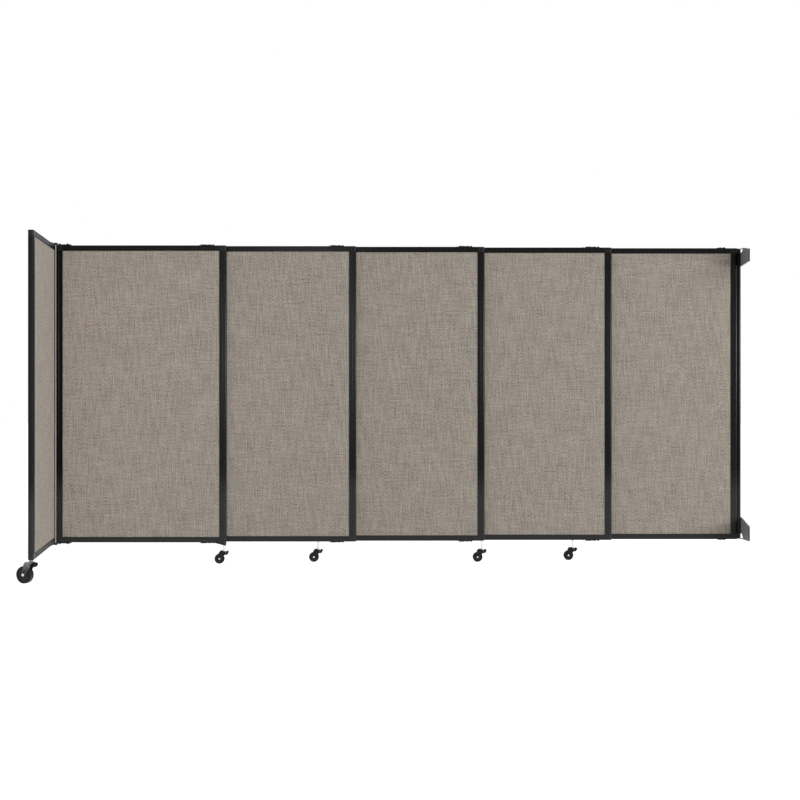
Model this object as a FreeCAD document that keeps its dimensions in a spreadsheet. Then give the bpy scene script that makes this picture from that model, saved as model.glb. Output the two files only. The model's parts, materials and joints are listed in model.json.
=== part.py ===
import FreeCAD, Part
import math
import os
import re
from types import SimpleNamespace

from FreeCAD import Placement, Rotation, Vector

# Sliding room divider: five telescoping fabric panels between a wall pivot and a hinged end panel.
# +X runs along the panels to the wall, +Z is up, and the panels step back along +Y.

# Driving dimensions in millimetres and degrees: name, value, meaning
driving_sizes = [
    ("panelWidth", 818, "width of one panel over its stiles"),
    ("frameHeight", 1422, "height of one panel frame"),
    ("frameThick", 26, "thickness of one panel frame"),
    ("floorClear", 102, "frame bottom above the floor"),
    ("stileWidth", 34, "width of a stile"),
    ("railHeight", 26.5, "height of a rail"),
    ("barWall", 2, "wall of the extruded bars"),
    ("channelDepth", 12, "depth of the channel that holds the board"),
    ("edgeRound", 9, "radius on a stile's outer edges"),
    ("railRound", 3.5, "radius on a rail's outer edges"),
    ("cornerRound", 6, "radius on a frame corner, seen from the front"),
    ("lineWidth", 2.4, "width of the line along a stile"),
    ("lineDepth", 0.8, "depth of the line along a stile"),
    ("stileNose", 4, "outer wall of a stile's hollow"),
    ("stileSide", 4.5, "side wall of a stile's hollow"),
    ("railSide", 2.5, "side wall of a rail's hollow"),
    ("railCrown", 6.5, "outer wall of a rail, which holds the grooves"),
    ("grooveWidth", 5, "width of a glide groove"),
    ("grooveDepth", 4, "depth of a glide groove"),
    ("grooveOffset", 6.5, "groove centre from the frame's middle plane"),
    ("boardGap", 0.3, "board face to channel wall"),
    ("boardEdgeGap", 1, "board edge to channel bottom"),
    ("spigotGap", 0.2, "corner block spigot to hollow"),
    ("spigotLength", 30, "corner block spigot in a bar"),
    ("depthPitch", 42, "step from one panel's plane to the next"),
    ("bracketInset", 59, "panel end to its glide bracket"),
    ("bracketLength", 39.75, "glide bracket along the rail"),
    ("bracketBase", 2, "glide bracket plate on its own rail"),
    ("bracketThick", 5.5, "glide bracket arm, up to its top"),
    ("reachLength", 26, "glide bracket arm along the rail"),
    ("bracketEdge", 0.5, "glide bracket set in from the rail's face"),
    ("stopGap", 0.5, "gap between two brackets that stop each other"),
    ("reachGap", 1, "glide bracket end to the neighbour's middle plane"),
    ("glideGap", 0.4, "glide bracket above the neighbour's rail"),
    ("tongueGap", 0.3, "glide tongue to groove side"),
    ("tongueTipGap", 0.6, "glide tongue to groove bottom"),
    ("bracketScrewInset", 6, "bracket's outer end to its screw"),
    ("bracketScrewSpacing", 18.5, "spacing of a bracket's screws"),
    ("screwRadius", 2, "screw shank radius"),
    ("screwGap", 0.1, "screw shank to hole"),
    ("screwBite", 6, "screw length in the frame"),
    ("screwHeadRadius", 3.5, "screw head radius"),
    ("screwHeadHeight", 3.8, "screw head height"),
    ("hingeGap", 1.5, "end hinge axis to each panel's face"),
    ("hingeInset", 2.5, "end hinge axis in from panel 1's end"),
    ("hingeEndGap", 3.5, "end hinge axis to the end panel's end"),
    ("endAngle", 84.9, "angle between the end panel and panel 1 as set up"),
    ("leafLength", 72, "hinge leaf along the rail"),
    ("leafThick", 5, "hinge leaf plate"),
    ("leafLift", 0.5, "hinge eye above the neighbour's corner block"),
    ("leafGap", 0.3, "gap between the two hinge eyes"),
    ("eyeRadius", 9, "hinge eye radius"),
    ("leafHeadRadius", 4.5, "leaf screw head radius"),
    ("leafHeadHeight", 5, "leaf screw head height"),
    ("leafScrewNear", 17.5, "panel end to the first leaf screw"),
    ("leafScrewFar", 56, "panel end to the second leaf screw"),
    ("hingePinRadius", 3, "end hinge pin radius"),
    ("hingeHeadRadius", 5, "end hinge pin head radius"),
    ("hingeHeadHeight", 1.5, "end hinge pin head height"),
    ("runningGap", 0.05, "radial clearance of pins and axles"),
    ("postRadius", 9, "wall pivot post radius"),
    ("postPinRadius", 4, "pin at each end of the post"),
    ("postFloat", 0.3, "post end to bush flange"),
    ("bushRadius", 5.5, "bush sleeve radius"),
    ("bushFlangeRadius", 7.3, "bush flange radius"),
    ("bushFlange", 1.6, "bush flange thickness"),
    ("bushFit", 0.03, "bush sleeve to bracket arm"),
    ("armDrop", 2, "bracket arm below the frame's end"),
    ("armThick", 4, "bracket arm thickness"),
    ("armEyeRadius", 7.5, "bracket arm end radius"),
    ("wallOffset", 15.5, "post axis to the wall"),
    ("plateThick", 6, "wall plate thickness"),
    ("plateReach", 187, "wall plate from the post axis to its far end"),
    ("armStrip", 60, "level part of a wall plate's outer edge"),
    ("notchReach", 50, "notch under the arm, from the post axis"),
    ("notchRound", 32, "middle of the notch's curve, from the post axis"),
    ("upperNotchDeep", 20, "upper plate's notch, from the frame's top"),
    ("upperPostDeep", 88, "upper plate at the post, from the frame's top"),
    ("upperEndNear", 15.5, "upper plate's far end, its higher corner"),
    ("upperEndDeep", 77, "upper plate's far end, its lower corner"),
    ("lowerNotchDeep", 27, "lower plate's notch, from the frame's bottom"),
    ("lowerPostDeep", 108, "lower plate at the post, from the frame's bottom"),
    ("lowerEndNear", 6, "lower plate's far end, its lower corner"),
    ("lowerEndDeep", 78, "lower plate's far end, its higher corner"),
    ("wallHoleRadius", 3.2, "wall screw hole radius"),
    ("wallHoleNear", 35, "post axis to the nearer wall screw"),
    ("wallHoleSpacing", 120, "spacing of the two wall screws"),
    ("wallHoleDrop", 45, "frame end to the wall screws"),
    ("footLength", 58, "panel 1's caster foot along the rail"),
    ("footDrop", 16, "panel 1's caster foot, depth near its heel"),
    ("footToe", 2.3, "panel 1's caster foot, depth at its toe"),
    ("footHeel", 4.6, "panel end to the deepest edge of the caster foot"),
    ("stemInset", 13, "panel end to a caster stem"),
    ("stemBite", 14, "caster stem in the corner block"),
    ("stemCollar", 5, "height of the nut on the caster stem"),
    ("stemFoot", 2, "height of the riveted foot of the caster stem"),
    ("stemFootGap", 0.3, "stem foot to fork head"),
    ("cheekGap", 1, "wheel side to fork cheek"),
    ("cheekThick", 2.5, "fork cheek"),
    ("axleHead", 2, "axle head height"),
    ("pedalSideGap", 0.6, "brake pedal to fork cheek"),
    ("endCasterTurn", 20, "end caster swivelled as set up"),
    ("smallWheelRadius", 23.5, "small caster wheel"),
    ("smallWheelWidth", 18, "small caster wheel width"),
    ("smallTreadBevel", 1, "small caster wheel, bevel at each side of its tread"),
    ("smallTrail", 21, "small caster axle behind its stem"),
    ("smallAxleRadius", 3, "small caster axle"),
    ("smallStemRadius", 5, "small caster stem"),
    ("smallHeadRadius", 9.5, "small caster fork head"),
    ("smallHeadBase", 52.5, "small caster fork head, underside"),
    ("smallHeadTop", 58.5, "small caster fork head, top"),
    ("smallCheekFoot", 8, "small caster cheek round the axle"),
    ("smallCheekTop", 14.5, "small caster cheek at the head"),
    ("smallShoulderX", -10, "small caster cheek's upper centre ahead of the stem"),
    ("smallShoulderZ", 48, "small caster cheek's upper centre height"),
    ("smallPedalPin", 1.6, "small caster brake pin"),
    ("smallPedalX", -13, "small caster brake pin ahead of the stem"),
    ("smallPedalZ", 50, "small caster brake pin height"),
    ("smallHeelX", 13.2, "small caster brake heel ahead of the stem"),
    ("smallHeelZ", 46.9, "small caster brake heel height"),
    ("smallHeelRadius", 4.2, "small caster brake heel"),
    ("smallTabX", 16, "small caster brake tab ahead of the stem"),
    ("smallTabZ", 55, "small caster brake tab height"),
    ("smallTabRadius", 6, "small caster brake tab"),
    ("smallShoeRadius", 2.6, "small caster brake shoe"),
    ("smallShoeGap", 1.6, "small caster brake shoe to tread"),
    ("smallShoeAngle", 50, "small caster brake shoe round the wheel"),
    ("largeWheelRadius", 37.5, "end caster wheel"),
    ("largeWheelWidth", 24, "end caster wheel width"),
    ("largeTreadBevel", 1.5, "end caster wheel, bevel at each side of its tread"),
    ("largeTrail", 31, "end caster axle behind its stem"),
    ("largeAxleRadius", 5, "end caster axle"),
    ("largeStemRadius", 6, "end caster stem"),
    ("largeHeadRadius", 12, "end caster fork head"),
    ("largeHeadBase", 87, "end caster fork head, underside"),
    ("largeHeadTop", 95, "end caster fork head, top"),
    ("largeCheekFoot", 11, "end caster cheek round the axle"),
    ("largeCheekTop", 17, "end caster cheek at the head"),
    ("largeShoulderX", -13, "end caster cheek's upper centre ahead of the stem"),
    ("largeShoulderZ", 77.5, "end caster cheek's upper centre height"),
    ("largePedalPin", 2, "end caster brake pin"),
    ("largePedalX", -20, "end caster brake pin ahead of the stem"),
    ("largePedalZ", 78.8, "end caster brake pin height"),
    ("largeHeelX", 17.5, "end caster brake heel ahead of the stem"),
    ("largeHeelZ", 77, "end caster brake heel height"),
    ("largeHeelRadius", 5.6, "end caster brake heel"),
    ("largeTabX", 19.6, "end caster brake tab ahead of the stem"),
    ("largeTabZ", 84.5, "end caster brake tab height"),
    ("largeTabRadius", 7, "end caster brake tab"),
    ("largeShoeRadius", 3.5, "end caster brake shoe"),
    ("largeShoeGap", 2.2, "end caster brake shoe to tread"),
    ("largeShoeAngle", 50, "end caster brake shoe round the wheel"),
]

doc = FreeCAD.newDocument("RoomDivider")
sheet = doc.addObject("Spreadsheet::Sheet", "dims")
for row, (alias, value, meaning) in enumerate(driving_sizes, start=1):
    sheet.set(f"A{row}", str(value))
    sheet.setAlias(f"A{row}", alias)
    sheet.set(f"B{row}", meaning)
doc.recompute()
d = SimpleNamespace(**{alias: float(sheet.get(alias)) for alias, value, meaning in driving_sizes})


# Helpers: binding to the sheet, primitives, sketches and booleans

def bind(feature, prop, formula):
    """Ties one property to the sheet; names in the formula are sheet aliases."""
    feature.setExpression(prop, re.sub(r"[a-z]\w*[A-Z]\w*", lambda name: "dims." + name[0], formula))


def box(name, lengths, corner):
    solid = doc.addObject("Part::Box", name)
    for prop, formula in zip(("Length", "Width", "Height"), lengths):
        bind(solid, prop, formula)
    for prop, formula in zip("xyz", corner):
        bind(solid, "Placement.Base." + prop, formula)
    return solid


def cylinder(name, radius, height, start, direction=Vector(0, 0, 1)):
    solid = doc.addObject("Part::Cylinder", name)
    bind(solid, "Radius", radius)
    bind(solid, "Height", height)
    solid.Placement = Placement(Vector(*start), Rotation(Vector(0, 0, 1), direction))
    return solid


def fuse(name, solids):
    joined = doc.addObject("Part::MultiFuse", name)
    joined.Shapes = solids
    return joined


def cut(name, base, tools):
    tool = tools[0] if len(tools) == 1 else fuse(name + "Tools", tools)
    result = doc.addObject("Part::Cut", name)
    result.Base = base
    result.Tool = tool
    return result


def mirrored(name, source):
    """Turns a piece for the frame's top into the one for its bottom."""
    result = doc.addObject("Part::Mirroring", name)
    result.Source = source
    result.Normal = Vector(0, 0, 1)
    return result


def trace(sketch, steps):
    """Draws a closed outline: a point is a line to it, a pair of points is an arc through the first."""
    here = Vector(*steps[0], 0)
    for step in list(steps[1:]) + [steps[0]]:
        if isinstance(step[0], tuple):
            middle, end = (Vector(*point, 0) for point in step)
            sketch.addGeometry(Part.Arc(here, middle, end), False)
        else:
            end = Vector(*step, 0)
            if here.distanceToPoint(end) > 1e-6:
                sketch.addGeometry(Part.LineSegment(here, end), False)
        here = end


def sketched(name, plane, outlines):
    body = doc.addObject("PartDesign::Body", name)
    sketch = body.newObject("Sketcher::SketchObject", name + "Sketch")
    support = next(item for item in body.Origin.OriginFeatures if item.Role == plane)
    sketch.AttachmentSupport = [(support, "")]
    sketch.MapMode = "FlatFace"
    for outline in outlines:
        trace(sketch, outline)
    return body, sketch


def padded(name, plane, outlines, length, symmetric=False):
    body, sketch = sketched(name, plane, outlines)
    pad = body.newObject("PartDesign::Pad", name + "Pad")
    pad.Profile = sketch
    pad.Midplane = symmetric
    bind(pad, "Length", length)
    return body


def revolved(name, plane, outline):
    """Turns an outline round the sketch's vertical axis."""
    body, sketch = sketched(name, plane, [outline])
    turn = body.newObject("PartDesign::Revolution", name + "Turn")
    turn.Profile = sketch
    turn.ReferenceAxis = (sketch, ["V_Axis"])
    turn.Angle = 360
    return body


def rounded(centre, radius, start, end):
    """An arc step round a centre, from one angle to another in degrees."""
    middle = math.radians((start + end) / 2)
    last = math.radians(end)
    return (
        (centre[0] + radius * math.cos(middle), centre[1] + radius * math.sin(middle)),
        (centre[0] + radius * math.cos(last), centre[1] + radius * math.sin(last)),
    )


def link_outline(first, first_radius, second, second_radius):
    """Outline of two circles joined by their outer tangents."""
    run = math.atan2(second[1] - first[1], second[0] - first[0])
    spread = math.acos((first_radius - second_radius) / math.dist(first, second))

    def at(centre, radius, angle):
        return (centre[0] + radius * math.cos(angle), centre[1] + radius * math.sin(angle))

    return [
        at(first, first_radius, run - spread),
        at(second, second_radius, run - spread),
        (at(second, second_radius, run), at(second, second_radius, run + spread)),
        at(first, first_radius, run + spread),
        (at(first, first_radius, run + math.pi), at(first, first_radius, run - spread)),
    ]


# Frame bars

half = d.frameThick / 2
rail_length = d.panelWidth - 2 * d.stileWidth


def stile():
    """The right-hand stile, its channel open towards -X."""
    wide, turn = d.stileWidth, d.edgeRound
    line_at, line_half = d.stileWidth / 2, d.lineWidth / 2
    hollow = half - d.stileSide
    left, right = d.channelDepth + d.barWall, d.stileWidth - d.stileNose
    outer = [
        (0, -half),
        (line_at - line_half, -half),
        (line_at, d.lineDepth - half),
        (line_at + line_half, -half),
        (wide - turn, -half),
        rounded((wide - turn, turn - half), turn, -90, 0),
        (wide, half - turn),
        rounded((wide - turn, half - turn), turn, 0, 90),
        (line_at + line_half, half),
        (line_at, half - d.lineDepth),
        (line_at - line_half, half),
        (0, half),
        (0, half - d.barWall),
        (d.channelDepth, half - d.barWall),
        (d.channelDepth, d.barWall - half),
        (0, d.barWall - half),
    ]
    inner = [(left, -hollow), (right, -hollow), (right, hollow), (left, hollow)]
    return padded("stile", "XY_Plane", [outer, inner], "frameHeight - 2 * railHeight")


def rail():
    """The top rail, its channel open downwards and two glide grooves in its crown."""
    tall = d.railHeight
    floor = tall - d.grooveDepth
    near, far = d.grooveOffset - d.grooveWidth / 2, d.grooveOffset + d.grooveWidth / 2
    hollow = half - d.railSide
    low, high = d.channelDepth + d.barWall, d.railHeight - d.railCrown
    turn = d.railRound
    outer = [
        (half, 0),
        (half, tall - turn),
        rounded((half - turn, tall - turn), turn, 0, 90),
        (far, tall),
        (far, floor),
        (near, floor),
        (near, tall),
        (-near, tall),
        (-near, floor),
        (-far, floor),
        (-far, tall),
        (turn - half, tall),
        rounded((turn - half, tall - turn), turn, 90, 180),
        (-half, 0),
        (d.barWall - half, 0),
        (d.barWall - half, d.channelDepth),
        (half - d.barWall, d.channelDepth),
        (half - d.barWall, 0),
    ]
    inner = [(-hollow, low), (hollow, low), (hollow, high), (-hollow, high)]
    return padded("rail", "YZ_Plane", [outer, inner], "panelWidth - 2 * stileWidth")


def drilled_rail(name, plain_rail, distances):
    """A rail with screw holes through its crown at these distances from the panel's left end."""
    holes = []
    for number, distance in enumerate(distances):
        start = (distance - d.stileWidth, 0, d.railHeight - d.railCrown - d.screwBite)
        holes.append(
            cylinder(f"{name}Hole{number}", "screwRadius + screwGap", "railCrown + 2 * screwBite", start)
        )
    return cut(name, plain_rail, holes)


def corner_block():
    """The lower right-hand corner block, with a spigot up into the stile and one left into the rail."""
    wide, tall = d.stileWidth, d.railHeight
    plan = [
        (0, -half),
        (wide - d.edgeRound, -half),
        rounded((wide - d.edgeRound, d.edgeRound - half), d.edgeRound, -90, 0),
        (wide, half - d.edgeRound),
        rounded((wide - d.edgeRound, half - d.edgeRound), d.edgeRound, 0, 90),
        (0, half),
    ]
    front = [
        (0, 0),
        (wide - d.cornerRound, 0),
        rounded((wide - d.cornerRound, d.cornerRound), d.cornerRound, -90, 0),
        (wide, tall),
        (0, tall),
    ]
    turn = d.railRound
    end = [
        (-half, tall),
        (-half, turn),
        rounded((turn - half, turn), turn, 180, 270),
        (half - turn, 0),
        rounded((half - turn, turn), turn, -90, 0),
        (half, tall),
    ]
    block = doc.addObject("Part::MultiCommon", "cornerShape")
    block.Shapes = [
        padded("cornerPlan", "XY_Plane", [plan], "railHeight"),
        padded("cornerFront", "XZ_Plane", [front], "frameThick", symmetric=True),
        padded("cornerEnd", "YZ_Plane", [end], "stileWidth"),
    ]
    up = box(
        "stileSpigot",
        ("stileWidth - stileNose - channelDepth - barWall - 2 * spigotGap",
         "frameThick - 2 * stileSide - 2 * spigotGap",
         "spigotLength + barWall"),
        ("channelDepth + barWall + spigotGap",
         "stileSide + spigotGap - frameThick / 2",
         "railHeight - barWall"),
    )
    across = box(
        "railSpigot",
        ("spigotLength + barWall",
         "frameThick - 2 * railSide - 2 * spigotGap",
         "railHeight - railCrown - channelDepth - barWall - 2 * spigotGap"),
        ("-spigotLength", "railSide + spigotGap - frameThick / 2", "railCrown + spigotGap"),
    )
    pocket = box(
        "boardPocket",
        ("2 * channelDepth", "frameThick - 2 * barWall", "2 * channelDepth"),
        ("-channelDepth", "barWall - frameThick / 2", "railHeight - channelDepth"),
    )
    return cut("cornerBlock", fuse("cornerSolid", [block, up, across]), [pocket])


def bored_corner(name, block, radius, depth, distance):
    """A corner block with a hole up from its outer face, this far from the panel's end."""
    hole = cylinder(name + "Hole", radius, depth, (d.stileWidth - distance, 0, 0))
    return cut(name, block, [hole])


def footed_corner(block):
    """A bored corner block with a sloping foot below it, hollow round the nut on the stem."""
    wide = d.stileWidth
    outline = [
        (wide - d.footLength, -d.spigotGap),
        (wide - d.footLength, -d.footToe),
        (wide - d.footHeel, -d.footDrop),
        (wide - d.footHeel / 2, 0),
        (wide - d.cornerRound, d.railRound),
        (d.barWall, d.railRound),
        (d.barWall, -d.spigotGap),
    ]
    foot = padded("casterFoot", "XZ_Plane", [outline], "frameThick - 2 * bracketEdge", symmetric=True)
    at = wide - d.stemInset
    nut_room = cylinder("footBore", "smallStemRadius + cheekThick + screwGap", "2 * footDrop",
                        (at, 0, -2 * d.footDrop))
    stem_room = cylinder("footStemBore", "smallStemRadius + screwGap", "stemBite", (at, 0, 0))
    return cut("footedCorner", fuse("footedSolid", [block, foot]), [nut_room, stem_room])


def board():
    """The fabric-wrapped board, its edges in the channels of the frame."""
    return box(
        "board",
        ("panelWidth - 2 * stileWidth + 2 * channelDepth - 2 * boardEdgeGap",
         "frameThick - 2 * barWall - 2 * boardGap",
         "frameHeight - 2 * railHeight + 2 * channelDepth - 2 * boardEdgeGap"),
        ("stileWidth - channelDepth + boardEdgeGap",
         "barWall + boardGap - frameThick / 2",
         "railHeight - channelDepth + boardEdgeGap"),
    )


# Glide brackets, stops and screws

screw_outer = d.bracketLength - d.bracketScrewInset
screw_along = (screw_outer - d.bracketScrewSpacing, screw_outer)


def bracket_holes(name):
    return [
        cylinder(f"{name}Hole{number}", "screwRadius + screwGap", "2 * bracketThick", (along, 0, 0))
        for number, along in enumerate(screw_along)
    ]


def glide_bracket():
    """A plate on one panel's rail that reaches over the next panel, with a tongue in its groove."""
    base = box(
        "glideBase",
        ("bracketLength", "frameThick / 2 - bracketEdge + depthPitch / 2", "bracketBase"),
        ("0 * bracketLength", "bracketEdge - frameThick / 2", "0 * bracketBase"),
    )
    reach = box(
        "glideReach",
        ("reachLength", "depthPitch / 2 - reachGap + bracketThick", "bracketThick - glideGap"),
        ("0 * reachLength", "depthPitch / 2 - bracketThick", "glideGap"),
    )
    tongue = box(
        "glideTongue",
        ("reachLength", "grooveWidth - 2 * tongueGap", "grooveDepth - tongueTipGap + bracketThick / 2"),
        ("0 * reachLength",
         "depthPitch - grooveOffset - grooveWidth / 2 + tongueGap",
         "tongueTipGap - grooveDepth"),
    )
    return cut("glideBracket", fuse("glideSolid", [base, reach, tongue]), bracket_holes("glide"))


def stop_plate():
    """The plate at the wall end of panel 5 that stops panel 4's glide brackets."""
    plate = box(
        "stopPlain",
        ("bracketLength", "frameThick - 2 * bracketEdge", "bracketBase"),
        ("0 * bracketLength", "bracketEdge - frameThick / 2", "0 * bracketBase"),
    )
    return cut("stopPlate", plate, bracket_holes("stop"))


def screw(name, plate_thick, head_radius, head_height):
    """A pan-head screw, its head resting at zero and its shank down through a plate into the frame."""
    shank = -(plate_thick + d.screwBite)
    crown = head_height / 2
    outline = [
        (0, shank),
        (d.screwRadius, shank),
        (d.screwRadius, 0),
        (head_radius, 0),
        (head_radius, crown),
        rounded((head_radius - crown, crown), crown, 0, 90),
        (0, head_height),
    ]
    return revolved(name, "XZ_Plane", outline)


# End hinge: its axis is the origin, panel 1 lies at +X and the end panel, in line with it, at -X

eye_top = 2 * d.leafThick + d.leafGap


def leaf_holes(name, panel_end, side):
    middle = d.hingeGap + half
    return [
        cylinder(f"{name}Hole{number}", "screwRadius + screwGap", "3 * leafThick",
                 (panel_end + side * distance, middle, -d.leafThick))
        for number, distance in enumerate((d.leafScrewNear, d.leafScrewFar))
    ]


def fixed_leaf():
    """The leaf on panel 1, with its eye and the riveted pin."""
    plate = box(
        "fixedPlate",
        ("leafLength", "frameThick - 2 * bracketEdge", "leafThick"),
        ("-hingeInset", "hingeGap + bracketEdge", "0 * leafThick"),
    )
    eye = cylinder("fixedEye", "eyeRadius", "leafThick - leafLift", (0, 0, d.leafLift))
    pin = cylinder("fixedPin", "hingePinRadius", "2 * leafThick + 2 * leafGap + hingeHeadHeight - leafLift",
                   (0, 0, d.leafLift))
    head = cylinder("fixedHead", "hingeHeadRadius", "hingeHeadHeight", (0, 0, eye_top + d.leafGap))
    holes = leaf_holes("fixed", -d.hingeInset, 1)
    return cut("fixedLeaf", fuse("fixedSolid", [plate, eye, pin, head]), holes)


def moving_leaf():
    """The leaf on the end panel, whose eye is cranked up over the fixed one."""
    plate = box(
        "movingPlate",
        ("leafLength - eyeRadius", "frameThick - 2 * bracketEdge", "leafThick"),
        ("-hingeEndGap - leafLength", "hingeGap + bracketEdge", "0 * leafThick"),
    )
    riser = box(
        "movingRiser",
        ("leafThick", "eyeRadius", "2 * leafThick + leafGap"),
        ("-hingeEndGap - eyeRadius - leafThick", "hingeGap + bracketEdge", "0 * leafThick"),
    )
    arm = box(
        "movingArm",
        ("hingeEndGap + eyeRadius + leafThick", "eyeRadius", "leafThick"),
        ("-hingeEndGap - eyeRadius - leafThick", "0 * eyeRadius", "leafThick + leafGap"),
    )
    eye = cylinder("movingEye", "eyeRadius", "leafThick", (0, 0, d.leafThick + d.leafGap))
    bore = cylinder("movingBore", "hingePinRadius + runningGap", "3 * leafThick", (0, 0, 0))
    solid = fuse("movingSolid", [plate, riser, arm, eye])
    return cut("movingLeaf", solid, [bore] + leaf_holes("moving", -d.hingeEndGap, -1))


# Wall pivot: the post's axis is the origin and zero height is the frame's top

arm_low = -d.armDrop - d.armThick
post_end = d.armDrop + d.armThick + d.bushFlange + d.postFloat
post_seat = half - d.edgeRound
post_offset = math.sqrt(d.postRadius ** 2 - post_seat ** 2)


def wall_bracket(name, notch, at_post, end_near, end_deep):
    """A wall bracket as it stands at the frame's top: a tapered plate on the wall and an arm to the post."""
    post_side = d.armEyeRadius
    plate_outline = [
        (post_side, -d.armDrop),
        (post_side, arm_low),
        (-d.notchReach, arm_low),
        ((-d.notchRound, (arm_low - 3 * notch) / 4), (post_side, -notch)),
        (post_side, -at_post),
        (-d.plateReach, -end_deep),
        (-d.plateReach, -end_near),
        (-d.armStrip, -d.armDrop),
    ]
    plate = padded(name + "Plate", "YZ_Plane", [plate_outline], "plateThick")
    plate.Placement.Base.x = d.wallOffset - d.plateThick
    arm = box(
        name + "Arm",
        ("wallOffset", "2 * armEyeRadius", "armThick"),
        ("0 * wallOffset", "-armEyeRadius", "-armDrop - armThick"),
    )
    eye = cylinder(name + "Eye", "armEyeRadius", "armThick", (0, 0, arm_low))
    bore = cylinder(name + "Bore", "bushRadius + bushFit", "3 * armThick", (0, 0, arm_low - d.armThick))
    holes = [
        cylinder(f"{name}Hole{number}", "wallHoleRadius", "3 * plateThick",
                 (d.wallOffset - 2 * d.plateThick, -d.wallHoleNear - along, -d.wallHoleDrop), Vector(1, 0, 0))
        for number, along in enumerate((0, d.wallHoleSpacing))
    ]
    return cut(name + "Bracket", fuse(name + "Solid", [plate, arm, eye]), [bore] + holes)


def bush():
    """A flanged bush in the bracket arm."""
    bore = d.postPinRadius + d.runningGap
    outline = [
        (bore, arm_low - d.bushFlange),
        (d.bushFlangeRadius, arm_low - d.bushFlange),
        (d.bushFlangeRadius, arm_low),
        (d.bushRadius, arm_low),
        (d.bushRadius, -d.armDrop),
        (bore, -d.armDrop),
    ]
    return revolved("bush", "XZ_Plane", outline)


def pivot_post():
    """The post on panel 5's edge, flat where it meets the stile, with a pin at each end."""
    seat_angle = math.degrees(math.atan2(post_seat, -post_offset))
    outline = [
        (-post_offset, -post_seat),
        rounded((0, 0), d.postRadius, -seat_angle, seat_angle),
    ]
    length = "frameHeight - 2 * (armDrop + armThick + bushFlange + postFloat)"
    column = padded("postColumn", "XY_Plane", [outline], length)
    column.Placement.Base.z = post_end
    pin = cylinder("postPin", "postPinRadius", "frameHeight - 2 * armDrop", (0, 0, d.armDrop))
    return fuse("pivotPost", [column, pin])


# Casters: the stem's axis is the origin, the floor is zero and the wheel trails to -X

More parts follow.
